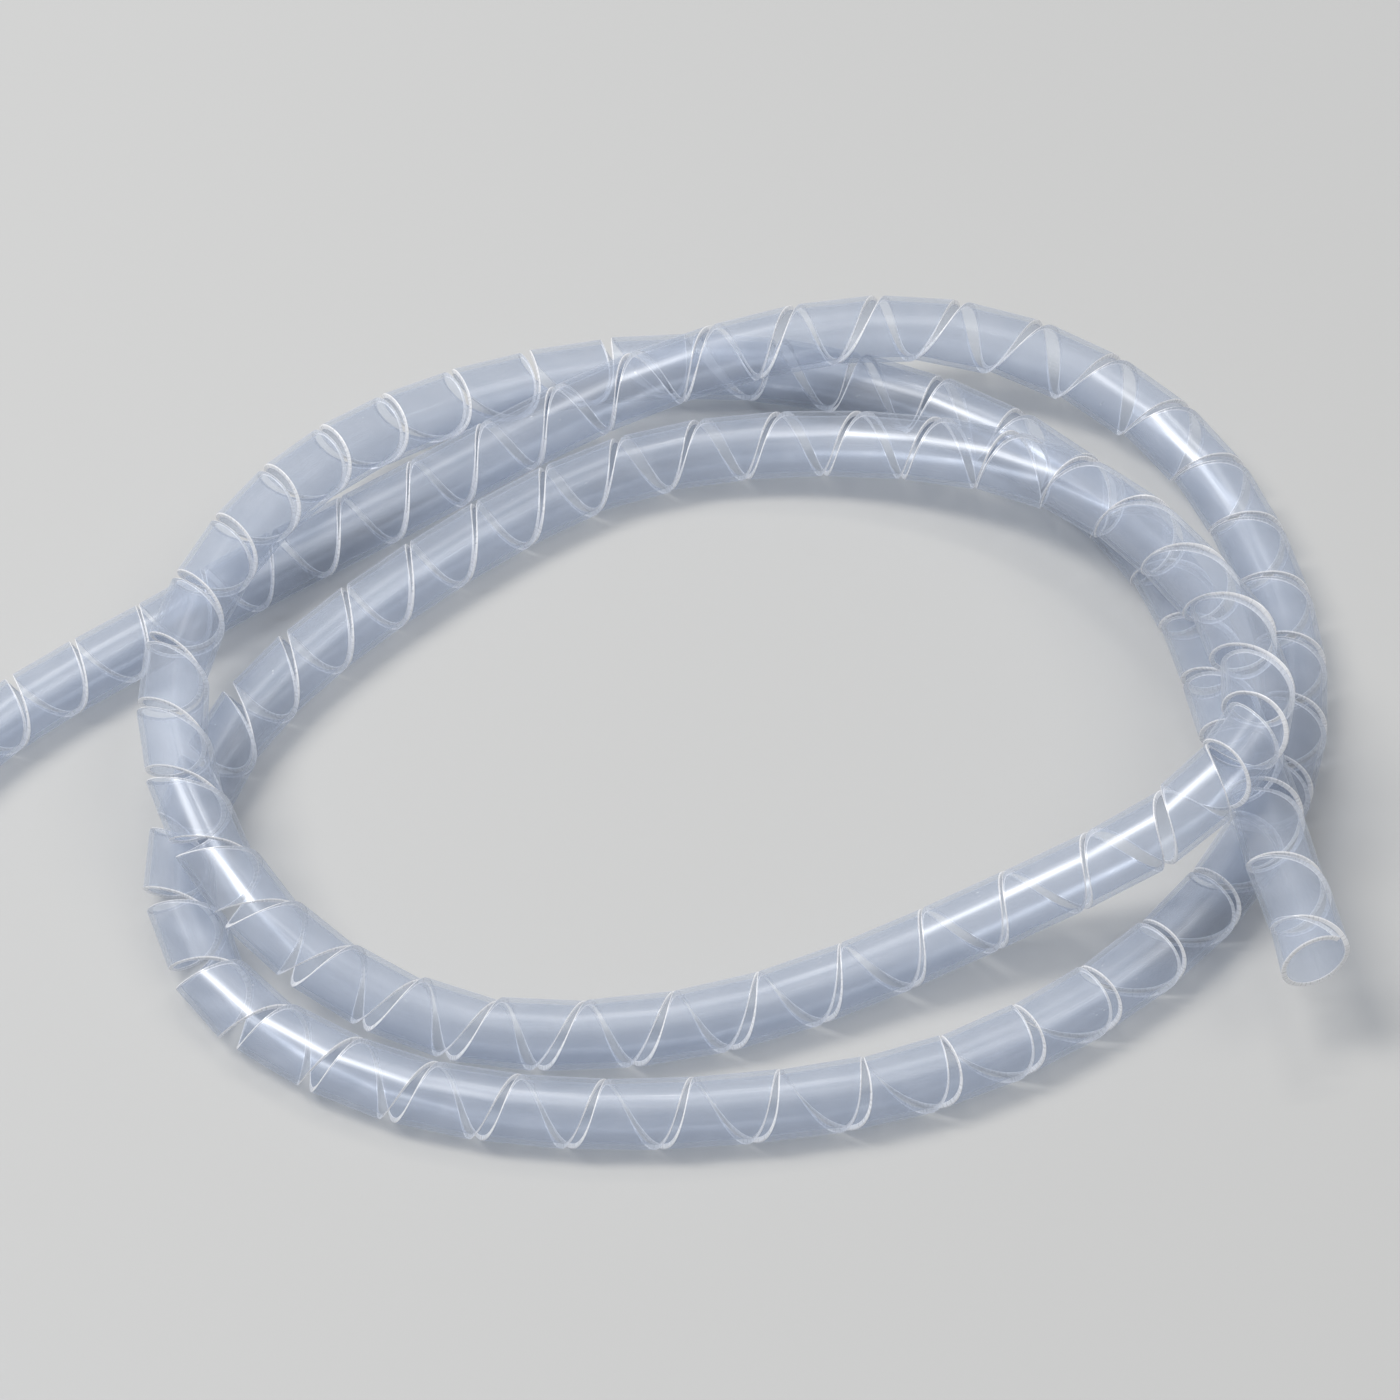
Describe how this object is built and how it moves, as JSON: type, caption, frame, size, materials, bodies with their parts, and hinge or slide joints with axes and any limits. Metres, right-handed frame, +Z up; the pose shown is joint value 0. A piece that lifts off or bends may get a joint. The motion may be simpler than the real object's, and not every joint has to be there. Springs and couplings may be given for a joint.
{
  "type": "spiral cable wrap",
  "caption": "Translucent plastic tube slit along a helix from end to end, so that it winds round a bundle of cables; it lies in a loose coil with one end over the loops.",
  "frame": {"origin": "under the middle of the part's box, on the floor that the coil lies on", "axes": "+Z up from the floor; +X to the right in the picture, along the longest side of the coil; +Y away from the camera"},
  "size_m": [0.2262, 0.2154, 0.0308],
  "materials": {
    "polyethylene": "translucent natural polyethylene, satin"
  },
  "bodies": {
    "root": {"spiral_wrap": "polyethylene"}
  },
  "joints": []
}
